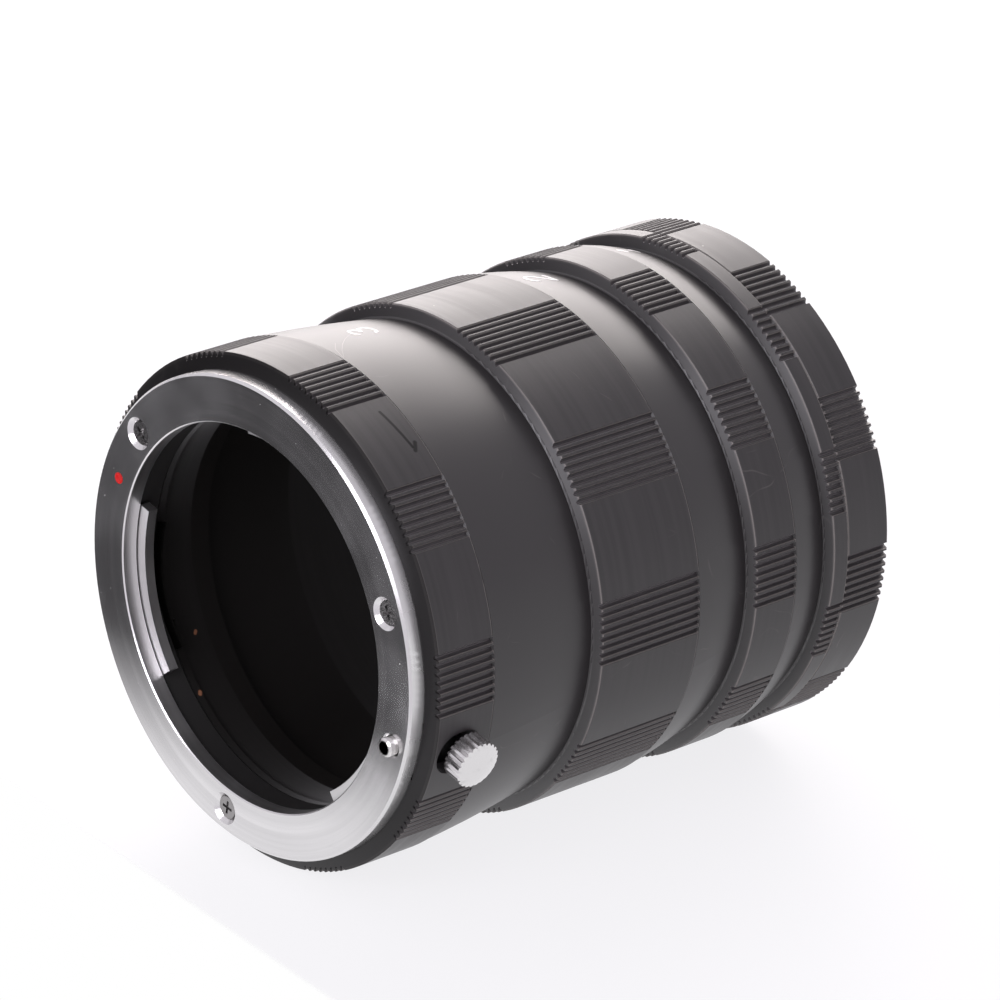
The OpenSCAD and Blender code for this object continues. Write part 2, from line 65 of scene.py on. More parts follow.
class Graph:
    """Adds and joins the nodes of one node tree."""

    def __init__(self, tree: bpy.types.NodeTree) -> None:
        """Keeps the tree that the nodes go into.

        Args:
            tree: the node tree of a material, a world or a group.
        """
        self.tree = tree

    def add(
        self, kind: str, values: dict[int | str, object] | None = None, **settings: object
    ) -> Node:
        """Adds one node.

        Args:
            kind: the node's type name.
            values: what each input is set to, or the output socket that feeds it.
            settings: the node's own properties.

        Returns:
            The new node.
        """
        node = self.tree.nodes.new(kind)
        for name, value in settings.items():
            setattr(node, name, value)
        for key, value in (values or {}).items():
            self.feed(node.inputs[key], value)
        return node

    def feed(self, socket: Socket, value: object) -> None:
        """Links an output into a socket, or sets the socket's own value; a colour gets its alpha here."""
        if isinstance(value, Socket):
            self.tree.links.new(value, socket)
        else:
            socket.default_value = (*value, 1.0) if socket.type == "RGBA" else value

    def drive(self, node: Node, **values: object) -> None:
        """Feeds a node's inputs by their names, with spaces as underscores."""
        for name, value in values.items():
            self.feed(node.inputs[name.replace("_", " ")], value)

    def math(self, operation: str, a: object, b: object = 0.0, clamp: bool = False) -> Socket:
        """Returns the result of one Math node on one or two values."""
        return self.add("ShaderNodeMath", {0: a, 1: b}, operation=operation, use_clamp=clamp).outputs[0]

    def fold(self, operation: str, first: object, *rest: object) -> Socket:
        """Returns what a row of Math nodes makes of two or more values."""
        for value in rest:
            first = self.math(operation, first, value)
        return first

    def times(self, *values: object) -> Socket:
        """Returns the product of the values."""
        return self.fold("MULTIPLY", *values)

    def plus(self, *values: object) -> Socket:
        """Returns the sum of the values."""
        return self.fold("ADD", *values)

    def minus(self, a: object, b: object) -> Socket:
        """Returns a less b."""
        return self.math("SUBTRACT", a, b)

    def over(self, a: object, b: object) -> Socket:
        """Returns a divided by b."""
        return self.math("DIVIDE", a, b)

    def most(self, *values: object) -> Socket:
        """Returns the largest of the values."""
        return self.fold("MAXIMUM", *values)

    def above(self, a: object, b: object) -> Socket:
        """Returns 1 where a is above b, otherwise 0."""
        return self.math("GREATER_THAN", a, b)

    def below(self, a: object, b: object) -> Socket:
        """Returns 1 where a is below b, otherwise 0."""
        return self.math("LESS_THAN", a, b)

    def spot(self) -> Socket:
        """Returns the object coordinates, in metres."""
        return self.add("ShaderNodeTexCoord").outputs["Object"]

    def noise(self, spot: Socket, scale: float, detail: float, output: str | int = 0) -> Socket:
        """Returns one Noise Texture node's value, or its other output."""
        values = {"Vector": spot, "Scale": scale, "Detail": detail}
        return self.add("ShaderNodeTexNoise", values).outputs[output]

    def cells(self, spot: Socket, scale: Socket, feature: str = "F1") -> Node:
        """Returns one Voronoi Texture node."""
        return self.add("ShaderNodeTexVoronoi", {"Vector": spot, "Scale": scale}, feature=feature)

    def vector(self, operation: str, a: object, b: object = (0.0, 0.0, 0.0)) -> Socket:
        """Returns the result of one Vector Math node on one or two vectors."""
        node = self.add("ShaderNodeVectorMath", {0: a, 1: b}, operation=operation)
        return node.outputs["Value" if operation in ("DOT_PRODUCT", "LENGTH") else "Vector"]

    def scale(self, vector: object, share: object) -> Socket:
        """Returns a vector times one value."""
        return self.add("ShaderNodeVectorMath", {0: vector, "Scale": share}, operation="SCALE").outputs[0]

    def join(self, x: object, y: object, z: object) -> Socket:
        """Returns the vector of three values."""
        return self.add("ShaderNodeCombineXYZ", {0: x, 1: y, 2: z}).outputs[0]

    def ramp(self, value: object, low: object, high: object, start: float = 0.0, end: float = 1.0) -> Socket:
        """Returns a smooth step of value from start, at low, to end, at high."""
        keys = {"Value": value, "From Min": low, "From Max": high, "To Min": start, "To Max": end}
        return self.add("ShaderNodeMapRange", keys, interpolation_type="SMOOTHSTEP").outputs[0]

    def mix(self, factor: object, a: object, b: object) -> Socket:
        """Returns the colour between a and b."""
        node = self.add("ShaderNodeMix", data_type="RGBA")
        for place, value in ((0, factor), (6, a), (7, b)):
            self.feed(node.inputs[place], value)
        return node.outputs[2]


class GroupKind(Enum):
    """Surface effects that more than one finish uses."""

    TURNED = "turned_marks"
    DUST = "dust_specks"
    SCRATCH = "fine_scratches"
    STROKE = "single_stroke"
    EDGE = "worn_edge_ring"
    ROUND = "round_coordinates"


@dataclass
class Effects:
    """Shader node groups, each built once and placed in the materials with its own values."""

    built: dict[GroupKind, bpy.types.NodeTree] = field(default_factory=dict)

    def start(
        self, kind: GroupKind, inputs: Sequence[str], outputs: Sequence[str]
    ) -> tuple[Graph, dict[str, Socket], Node]:
        """Opens a new group.

        Args:
            kind: which effect it is.
            inputs: the names of its inputs.
            outputs: the names of its outputs.

        Returns:
            The graph, the group's input sockets by name and its output node.
        """
        tree = bpy.data.node_groups.new(kind.value, "ShaderNodeTree")
        for way, names in (("INPUT", inputs), ("OUTPUT", outputs)):
            for name in names:
                tree.interface.new_socket(name, in_out=way, socket_type="NodeSocketFloat")
        graph = Graph(tree)
        source = graph.add("NodeGroupInput")
        self.built[kind] = tree
        return graph, {name: source.outputs[name] for name in inputs}, graph.add("NodeGroupOutput")

    def place(self, graph: Graph, kind: GroupKind, **values: object) -> dict[str, Socket]:
        """Places a group in a material.

        Args:
            graph: the material's graph.
            kind: which effect to place.
            values: the effect's inputs, with spaces as underscores.

        Returns:
            The group's outputs by name.
        """
        makers = {
            GroupKind.TURNED: self.make_turned, GroupKind.DUST: self.make_dust,
            GroupKind.SCRATCH: self.make_scratch, GroupKind.STROKE: self.make_stroke,
            GroupKind.EDGE: self.make_edge, GroupKind.ROUND: self.make_round,
        }
        if kind not in self.built:
            makers[kind]()
        node = graph.add("ShaderNodeGroup", node_tree=self.built[kind])
        graph.drive(node, **values)
        return {socket.name: socket for socket in node.outputs}

    def make_round(self) -> None:
        """Builds the group that gives radius, height and angle about the optical axis, in mm and radians."""
        graph, _, out = self.start(GroupKind.ROUND, (), ("Radius", "Height", "Angle", "Cosine", "Sine"))
        x, y, z = graph.add("ShaderNodeSeparateXYZ", {0: graph.spot()}).outputs
        radius = graph.math("SQRT", graph.plus(graph.times(x, x), graph.times(y, y)))
        graph.drive(out, Radius=graph.times(radius, PER_METRE), Height=graph.times(z, PER_METRE))
        angle = graph.math("ARCTAN2", y, x)
        graph.drive(out, Angle=angle, Cosine=graph.over(x, radius), Sine=graph.over(y, radius))

    def make_turned(self) -> None:
        """Builds the group for the fine rings that a lathe tool leaves round the axis."""
        graph, given, out = self.start(GroupKind.TURNED, ("Rings per mm", "Wander"), ("Height", "Tone"))
        about = self.place(graph, GroupKind.ROUND)
        along = graph.plus(about["Height"], about["Radius"])
        for name, share, detail in (("Height", 1.0, 3.0), ("Tone", 0.22, 5.0)):
            rate = graph.times(given["Rings per mm"], share)
            x, y = (graph.times(about[way], given["Wander"]) for way in ("Cosine", "Sine"))
            spot = graph.join(x, y, graph.times(along, rate))
            graph.drive(out, **{name: graph.noise(spot, 1.0, detail)})

    def make_dust(self) -> None:
        """Builds the group for scattered pale specks."""
        graph, given, out = self.start(GroupKind.DUST, ("Specks per mm", "Share", "Size"), ("Mask",))
        cells = graph.cells(graph.spot(), graph.times(given["Specks per mm"], PER_METRE))
        pick = graph.add("ShaderNodeSeparateColor", {0: cells.outputs["Color"]})
        chosen = graph.below(pick.outputs[0], given["Share"])
        size = graph.times(given["Size"], graph.plus(pick.outputs[1], 0.4))
        dot = graph.ramp(cells.outputs["Distance"], graph.times(size, 0.6), size, 1.0, 0.0)
        graph.drive(out, Mask=graph.times(dot, chosen))

    def make_scratch(self) -> None:
        """Builds the group for thin scratches that run every way, thinned out in places."""
        graph, given, out = self.start(GroupKind.SCRATCH, ("Cells per mm", "Width", "Cover"), ("Mask",))
        axis, bend, flatten, patch_shift = (0.3, 0.4, 0.86), 0.004, (1.0, 0.16, 0.7), (0.3, 0.1, 0.2)
        spot = graph.spot()
        scale = graph.times(given["Cells per mm"], PER_METRE)
        bent = graph.vector("ADD", spot, graph.scale(graph.noise(spot, 180.0, 1.0, "Color"), bend))
        masks = []
        for turn, share in ((0.4, 1.0), (1.5, 1.7)):
            turned = graph.add("ShaderNodeVectorRotate", {"Vector": bent, "Angle": turn, "Axis": axis})
            stretched = graph.vector("MULTIPLY", turned.outputs[0], flatten)
            cells = graph.cells(stretched, graph.times(scale, share), "DISTANCE_TO_EDGE")
            masks.append(graph.below(cells.outputs["Distance"], given["Width"]))
        patch = graph.noise(graph.vector("ADD", spot, patch_shift), 220.0, 2.0)
        shown = graph.ramp(patch, given["Cover"], graph.plus(given["Cover"], 0.2))
        graph.drive(out, Mask=graph.times(graph.most(*masks), shown))

    def make_stroke(self) -> None:
        """Builds the group for one straight mark on a turned surface, placed by angle and height."""
        inputs = ("From angle", "From height", "To angle", "To height", "Width", "Radius")
        graph, given, out = self.start(GroupKind.STROKE, inputs, ("Mask",))
        about = self.place(graph, GroupKind.ROUND)

        def spot(angle: Socket, height: Socket) -> Socket:
            """Returns a point of the unrolled surface, in mm."""
            arc = graph.times(angle, given["Radius"], math.pi / 180)
            return graph.join(arc, height, 0.0)

        turned = graph.times(about["Angle"], DEGREES)
        here = spot(graph.math("FLOORED_MODULO", turned, 360.0), about["Height"])
        start = spot(given["From angle"], given["From height"])
        run = graph.vector("SUBTRACT", spot(given["To angle"], given["To height"]), start)
        way = graph.vector("SUBTRACT", here, start)
        length = graph.vector("DOT_PRODUCT", run, run)
        share = graph.math("DIVIDE", graph.vector("DOT_PRODUCT", way, run), length, clamp=True)
        gap = graph.vector("LENGTH", graph.vector("SUBTRACT", way, graph.scale(run, share)))
        graph.drive(out, Mask=graph.ramp(gap, graph.times(given["Width"], 0.4), given["Width"], 1.0, 0.0))

    def make_edge(self) -> None:
        """Builds the group for the bright line on a ring-shaped edge: painted highlight of the edge, partly
        worn metal.
        """
        inputs = ("Height", "Width", "Inner radius", "Breaks")
        graph, given, out = self.start(GroupKind.EDGE, inputs, ("Mask",))
        about = self.place(graph, GroupKind.ROUND)
        gap = graph.math("ABSOLUTE", graph.minus(about["Height"], given["Height"]))
        near = graph.ramp(gap, graph.times(given["Width"], 0.5), given["Width"], 1.0, 0.0)
        rim = graph.above(about["Radius"], given["Inner radius"])
        noise = graph.noise(graph.join(about["Cosine"], about["Sine"], given["Height"]), 9.0, 4.0)
        kept = graph.ramp(noise, given["Breaks"], graph.plus(given["Breaks"], 0.15))
        graph.drive(out, Mask=graph.times(near, rim, kept))


EFFECTS = Effects()


def new_material(name: str) -> tuple[Material, Graph, Node]:
    """Makes an empty material.

    Args:
        name: the material's name.

    Returns:
        The material, its graph and its Principled BSDF node.
    """
    material = bpy.data.materials.new(name)
    material.use_nodes = True
    graph = Graph(material.node_tree)
    return material, graph, material.node_tree.nodes["Principled BSDF"]


def shade(colour: Colour, share: float) -> Colour:
    """Returns a colour with each part times share."""
    return tuple(share * part for part in colour)


def turned_shine(graph: Graph, shader: Node, amount: object) -> None:
    """Stretches a shader's highlights across the lines of a turned face, by amount from 0 to 1."""
    tangent = graph.add("ShaderNodeTangent", direction_type="RADIAL", axis="Z").outputs[0]
    graph.drive(shader, Anisotropic=amount, Anisotropic_Rotation=QUARTER_TURN, Tangent=tangent)


def add_object(name: str, data: bpy.types.ID) -> bpy.types.Object:
    """Returns a new object of the data, linked to the scene."""
    made = bpy.data.objects.new(name, data)
    bpy.context.scene.collection.objects.link(made)
    return made


def bump(graph: Graph, shader: Node, height: Socket, depth_mm: float) -> None:
    """Feeds a height, in shares of depth_mm, to a shader's normal."""
    node = graph.add("ShaderNodeBump", {"Height": height, "Strength": 1.0, "Distance": depth_mm * MM})
    graph.drive(shader, Normal=node.outputs[0])


@dataclass(frozen=True)
class Stroke:
    """One single mark: angles in degrees, heights, width and radius in mm."""

    start: Pair
    end: Pair
    width: float
    strength: float = 1.0
    radius: float = 31.25


@dataclass(frozen=True)
class BlackAnodised:
    """Black anodised aluminium: matte smooth sections, turned bands, edges with a pale line that is painted
    highlight and partly worn, painted light on groove crests and bottoms, dust and a matte inside.
    """

    name: str
    bands: tuple[Pair, ...] = ()
    edges: tuple[Pair, ...] = ()
    pale_marks: tuple[Stroke, ...] = ()
    dark_marks: tuple[Stroke, ...] = ()
    thread_top: float = -99.0
    colour: Colour = (0.0275, 0.0245, 0.026)
    # Pale colour of scratches and dust, also used for the painted highlight on crests and edges
    worn: Colour = (0.31, 0.285, 0.27)
    inside: Colour = (0.0046, 0.0034, 0.003)
    inside_specks: tuple[Stroke, ...] = ()
    inside_radius: float = 28.4
    roughness: float = 0.37
    shoulder_shine: float = 0.85
    plain_above: float = 99.0
    groove_radii: Pair = (30.6, 31.15)
    crest_from: Pair = (31.0, 31.1)
    crest_to: Pair = (31.19, 31.24)
    groove_light_lift: float = 3.8
    groove_share: float = 0.6
    tone_range: Pair = (-0.2, 0.2)
    bevel_share: float = 0.75
    inside_rough: float = 0.22
    face_rough: float = 0.14
    face_stretch: float = 0.85
    coat_ior: float = 0.16
    dent_ior: float = 0.25
    ring_relief: float = 0.8
    grain_relief: float = 0.7
    thread_relief: float = 30.0
    relief: float = 0.004
    copper: Colour = (0.35, 0.15, 0.08)
    hollow: Colour = (0.003, 0.003, 0.003)
    bevel_black: Colour = (0.003, 0.0026, 0.0026)
    base_ior: float = 1.34
    thread_radius: float = 28.1
    thread_length: float = 2.6
    thread_pitch: float = 0.75

    def material(self) -> Material:
        """Returns the finish as a material."""
        material, graph, shader = new_material(self.name)
        about = EFFECTS.place(graph, GroupKind.ROUND)
        turned = EFFECTS.place(graph, GroupKind.TURNED, Rings_per_mm=7.0, Wander=0.8)
        outer = graph.ramp(about["Radius"], self.inside_radius - 0.1, self.inside_radius)
        band = self.on_bands(graph, about["Height"])
        bevel = graph.above(about["Height"], self.plain_above)
        deep = graph.ramp(about["Radius"], *self.groove_radii, 1.0, 0.0)
        groove = graph.times(deep, band, self.groove_share)
        thread, crest = self.thread(graph, about)
        # Faces across the axis are turned, and shine more than the walls
        normal = graph.add("ShaderNodeNewGeometry").outputs["True Normal"]
        facing = graph.add("ShaderNodeSeparateXYZ", {0: normal}).outputs["Z"]
        below_bevel = graph.below(about["Height"], self.plain_above)
        face = graph.times(graph.ramp(facing, 0.8, 0.95), outer, below_bevel)
        # Colour, from the bare finish to the marks, the inside and the thread
        tone = graph.ramp(turned["Tone"], 0.25, 0.75, *self.tone_range)
        tone = graph.plus(graph.times(tone, band), 1.0)
        base = graph.vector("MULTIPLY", self.colour, graph.join(tone, tone, tone))
        # Painted light: the groove bottoms are lightened to make up for the shade inside the grooves
        colour = graph.mix(groove, base, shade(self.colour, self.groove_light_lift))
        # Pale marks in the worn colour: scratches, dust and single marks are real; the crest and edge lines
        # are painted highlight
        colour = graph.mix(self.pale(graph, about), colour, self.worn)
        colour = graph.mix(graph.times(bevel, self.bevel_share), colour, self.bevel_black)
        dent: object = 0.0
        for mark in self.dark_marks:
            dark = self.stroke(graph, mark)
            colour = graph.mix(dark, colour, self.hollow)
            dent = graph.most(dent, dark)
        colour = graph.mix(outer, self.inside, colour)
        for mark in self.inside_specks:
            colour = graph.mix(self.stroke(graph, mark), colour, self.copper)
        colour = graph.mix(thread, colour, graph.mix(crest, self.inside, self.worn))
        # Gloss
        lines = graph.times(graph.ramp(turned["Tone"], 0.2, 0.8, 0.0, 0.09), band)
        inner = graph.times(graph.minus(1.0, outer), self.inside_rough)
        rough = graph.plus(self.roughness, lines, inner, graph.times(face, self.face_rough))
        coat = graph.times(graph.minus(outer, bevel), self.coat_ior)
        coat = graph.minus(coat, graph.times(dent, self.dent_ior))
        ior = graph.plus(self.base_ior, coat, graph.times(face, self.shoulder_shine))
        graph.drive(shader, Base_Color=colour, Roughness=rough, IOR=ior)
        graph.drive(shader, Sheen_Weight=groove, Sheen_Roughness=0.35)
        turned_shine(graph, shader, graph.times(face, self.face_stretch))
        # Relief of the turned lines, the grain and the thread
        rings = graph.times(turned["Height"], band, self.ring_relief)
        grain = graph.times(graph.noise(graph.spot(), 5500.0, 2.0), self.grain_relief)
        ridges = graph.times(thread, crest, self.thread_relief)
        bump(graph, shader, graph.plus(rings, grain, ridges), self.relief)
        return material

    def on_bands(self, graph: Graph, height: Socket) -> object:
        """Returns 1 on the grip bands, which are turned, and 0 on the blasted smooth sections."""
        found: object = 0.0
        for low, high in self.bands:
            above = graph.above(height, low)
            found = graph.plus(found, graph.times(above, graph.below(height, high)))
        return found

    def pale(self, graph: Graph, about: dict[str, Socket]) -> Socket:
        """Returns the mask of all the pale marks: scratches, dust and single marks, which are worn spots,
        and the lines on groove crests and edges, which are painted highlight, the edge lines partly worn.
        """
        dust = EFFECTS.place(graph, GroupKind.DUST, Specks_per_mm=0.42, Share=0.035, Size=0.05)
        scratch = EFFECTS.place(graph, GroupKind.SCRATCH, Cells_per_mm=0.05, Width=0.0035, Cover=0.56)
        # Groove crests on the bands: painted highlight in the pale colour
        rise = graph.ramp(about["Radius"], *self.crest_from)
        fall = graph.ramp(about["Radius"], *self.crest_to, 1.0, 0.0)
        crest = graph.times(rise, fall, self.on_bands(graph, about["Height"]), 0.5)
        pale = graph.most(graph.times(scratch["Mask"], 0.12), graph.times(dust["Mask"], 0.7), crest)
        # Edge lines: painted highlight of the band edges, partly worn
        for height, edge_line_strength in self.edges:
            line = EFFECTS.place(
                graph, GroupKind.EDGE, Height=height, Width=0.24, Inner_radius=30.9, Breaks=0.28,
            )
            pale = graph.most(pale, graph.times(line["Mask"], edge_line_strength))
        for mark in self.pale_marks:
            pale = graph.most(pale, self.stroke(graph, mark))
        return pale

    def thread(self, graph: Graph, about: dict[str, Socket]) -> tuple[Socket, Socket]:
        """Returns where the male thread is, and the height of its helical crests from 0 to 1."""
        high = self.thread_top - 0.15
        below = graph.below(about["Height"], high)
        above = graph.above(about["Height"], high - self.thread_length)
        near = graph.below(graph.math("ABSOLUTE", graph.minus(about["Radius"], self.thread_radius)), 0.2)
        rise = graph.over(about["Height"], self.thread_pitch)
        turns = graph.plus(rise, graph.over(about["Angle"], 2 * math.pi))
        wave = graph.math("PINGPONG", turns, 0.5)
        return graph.times(near, below, above), graph.ramp(wave, 0.1, 0.4)

    def stroke(self, graph: Graph, mark: Stroke) -> Socket:
        """Returns the mask of one single mark, times its strength."""
        placed = EFFECTS.place(
            graph, GroupKind.STROKE, From_angle=mark.start[0], From_height=mark.start[1],
            To_angle=mark.end[0], To_height=mark.end[1], Width=mark.width, Radius=mark.radius,
        )
        return graph.times(placed["Mask"], mark.strength)


@dataclass(frozen=True)
class TurnedChrome:
    """Satin chrome plating over a turned face, with scratches, smudges, a little dust and, where dark_below
    is set, painted shade low down inside.
    """

    name: str
    colour: Colour = (0.76, 0.75, 0.755)
    roughness: float = 0.2
    rings: float = 5.0
    ring_depth: float = 0.0022
    scratches: float = 0.3
    dark_below: float = -99.0
    dark_outside: float = 23.6
    corner_above: float = 74.38
    cut_rough: float = 0.2
    speck_rough: float = 0.5
    bore_rough: float = 0.14
    wall_rough: float = 0.06
    corner_share: float = 0.4
    bore_radii: Pair = (23.55, 23.65)
    wall_radii: Pair = (29.0, 29.15)
    dust_colour: Colour = (0.62, 0.6, 0.6)
    cut_colour: Colour = (0.42, 0.41, 0.4)
    rub_colour: Colour = (0.98, 0.97, 0.98)
    recess_shade: Colour = (0.012, 0.011, 0.011)

    def material(self) -> Material:
        """Returns the finish as a material."""
        material, graph, shader = new_material(self.name)
        about = EFFECTS.place(graph, GroupKind.ROUND)
        turned = EFFECTS.place(graph, GroupKind.TURNED, Rings_per_mm=self.rings, Wander=0.35)
        scratch = EFFECTS.place(graph, GroupKind.SCRATCH, Cells_per_mm=0.34, Width=0.006, Cover=0.6)
        dust = EFFECTS.place(graph, GroupKind.DUST, Specks_per_mm=1.3, Share=0.08, Size=0.1)
        smudge = graph.noise(graph.spot(), 130.0, 4.0)
        cut = graph.times(scratch["Mask"], self.scratches)
        tone = graph.ramp(turned["Tone"], 0.2, 0.8, 0.88, 1.06)
        base = graph.vector("MULTIPLY", self.colour, graph.join(tone, tone, tone))
        colour = graph.mix(cut, base, self.cut_colour)
        speck = graph.times(dust["Mask"], 0.75)
        colour = graph.mix(speck, colour, self.dust_colour)
        # Painted shade: black, matte and not metallic below dark_below and outside dark_outside, in the
        # recess behind the tabs
        low = graph.below(about["Height"], self.dark_below)
        dark = graph.times(low, graph.above(about["Radius"], self.dark_outside))
        rough = graph.ramp(smudge, 0.35, 0.7, self.roughness - 0.02, self.roughness + 0.03)
        marked = graph.plus(graph.times(cut, self.cut_rough), graph.times(speck, self.speck_rough))
        rough = graph.plus(rough, marked)
        wall = graph.ramp(about["Radius"], *self.wall_radii)
        corner = graph.times(wall, graph.above(about["Height"], self.corner_above))
        bore = graph.ramp(about["Radius"], *self.bore_radii, self.bore_rough, 0.0)
        rough = graph.plus(rough, graph.plus(bore, graph.times(wall, self.wall_rough)))
        colour = graph.mix(graph.times(corner, self.corner_share), colour, self.rub_colour)
        rough = graph.most(rough, graph.times(corner, 0.3))
        colour = graph.mix(dark, colour, self.recess_shade)
        rough = graph.most(rough, graph.times(dark, 0.5))
        metallic = graph.minus(1.0, graph.most(dark, speck))
        graph.drive(shader, Base_Color=colour, Roughness=rough, Metallic=metallic)
        turned_shine(graph, shader, 0.5)
        bump(graph, shader, graph.minus(turned["Height"], graph.times(cut, 0.8)), self.ring_depth)
        return material


@dataclass(frozen=True)
class PlainMetal:
    """Bare or plated steel of the small parts, with a slight cast and patches of grime.

    A hollow is the x, y and radius, in mm, of a black disc painted as the shade inside a bore along the
    optical axis.
    """

    name: str
    colour: Colour
    roughness: float
    grime: float = 0.3
    hollow: Place | None = None
    lip: float = 0.06
    painted_bore_shade: Colour = (0.004, 0.004, 0.004)
    grain_depth: float = 0.003

    def material(self) -> Material:
        """Returns the finish as a material."""
        material, graph, shader = new_material(self.name)
        spot = graph.spot()
        cast = graph.noise(spot, 900.0, 5.0)
        fine = graph.noise(spot, 5200.0, 3.0)
        spots = graph.times(graph.ramp(cast, 0.52, 0.72), self.grime)
        colour = graph.mix(spots, self.colour, shade(self.colour, 0.3))
        if self.hollow:
            # Painted shade: a black disc stands for the dark inside of the bore
            x, y, radius = self.hollow
            from_axis = graph.vector("SUBTRACT", spot, (x * MM, y * MM, 0.0))
            away = graph.vector("LENGTH", graph.vector("MULTIPLY", from_axis, (1.0, 1.0, 0.0)))
            inner = graph.ramp(away, (radius - self.lip) * MM, radius * MM, 1.0, 0.0)
            colour = graph.mix(inner, colour, self.painted_bore_shade)
        rough = graph.ramp(fine, 0.2, 0.8, self.roughness - 0.04, self.roughness + 0.08)
        graph.drive(shader, Base_Color=colour, Roughness=rough, Metallic=1.0)
        bump(graph, shader, fine, self.grain_depth)
        return material


@dataclass(frozen=True)
class Paint:
    """Paint that fills a small engraved mark."""

    name: str
    colour: Colour
    roughness: float = 0.45

    def material(self) -> Material:
        """Returns the finish as a material."""
        material, graph, shader = new_material(self.name)
        grain = graph.noise(graph.spot(), 4000.0, 4.0)
        worn = graph.times(graph.ramp(grain, 0.5, 0.75), 0.45)
        colour = graph.mix(worn, self.colour, shade(self.colour, 0.45))
        rough = graph.ramp(grain, 0.2, 0.8, self.roughness - 0.08, self.roughness + 0.1)
        graph.drive(shader, Base_Color=colour, Roughness=rough)
        bump(graph, shader, grain, 0.01)
        return material


def dress(material: Material, *names: str) -> None:
    """Gives CAD nodes a material.

    Args:
        material: the finish.
        names: the nodes' names.
    """
    for name in names:
        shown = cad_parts[name]
        if not shown.material_slots:
            shown.data.materials.append(material)
        for slot in shown.material_slots:
            slot.material = material
        log.info("node %s: %s", name, material.name)


def three(stem: str) -> tuple[str, ...]:
    """Returns the names of three like nodes."""
    return tuple(f"{stem}_{i}" for i in (1, 2, 3))


@dataclass(frozen=True)
class SmoothSection:
    """The bulged taper of a numbered tube between its foot and the next seam, heights in mm."""

    foot: float
    top: float
    foot_radius: float = 29.35
    top_radius: float = 31.175
    bulge: float = 0.2

    def radius(self, height: float) -> float:
        """Returns the radius of the surface at a height, in mm."""
        share = (height - self.foot) / (self.top - self.foot)
        taper = self.foot_radius + (self.top_radius - self.foot_radius) * share
        return taper + 4 * self.bulge * share * (1 - share)


class Digit(Enum):
    """Stroke paths of the three numbers, in mm to the right and up from the middle."""

    THREE = (
        ((-1.05, 1.25), (-0.7, 1.55), (-0.1, 1.66), (0.5, 1.55), (0.85, 1.2), (0.8, 0.72), (0.4, 0.35),
         (-0.15, 0.22), (0.45, 0.12), (0.98, -0.22), (1.15, -0.75), (0.92, -1.3), (0.4, -1.6),
         (-0.25, -1.68), (-0.85, -1.5), (-1.2, -1.1)),
    )
    TWO = (
        ((-1.15, 1.05), (-0.85, 1.55), (-0.25, 1.85), (0.45, 1.8), (0.98, 1.4), (1.05, 0.85),
         (0.7, 0.25), (0.05, -0.4), (-0.65, -1.05), (-1.2, -1.68)),
        ((-1.2, -1.7), (1.3, -1.7)),
    )
    ONE = (
        ((-1.1, 0.75), (-0.55, 1.05), (-0.1, 1.42), (-0.02, 0.6), (-0.02, -1.4)),
        ((-0.75, -1.42), (0.85, -1.42)),
    )


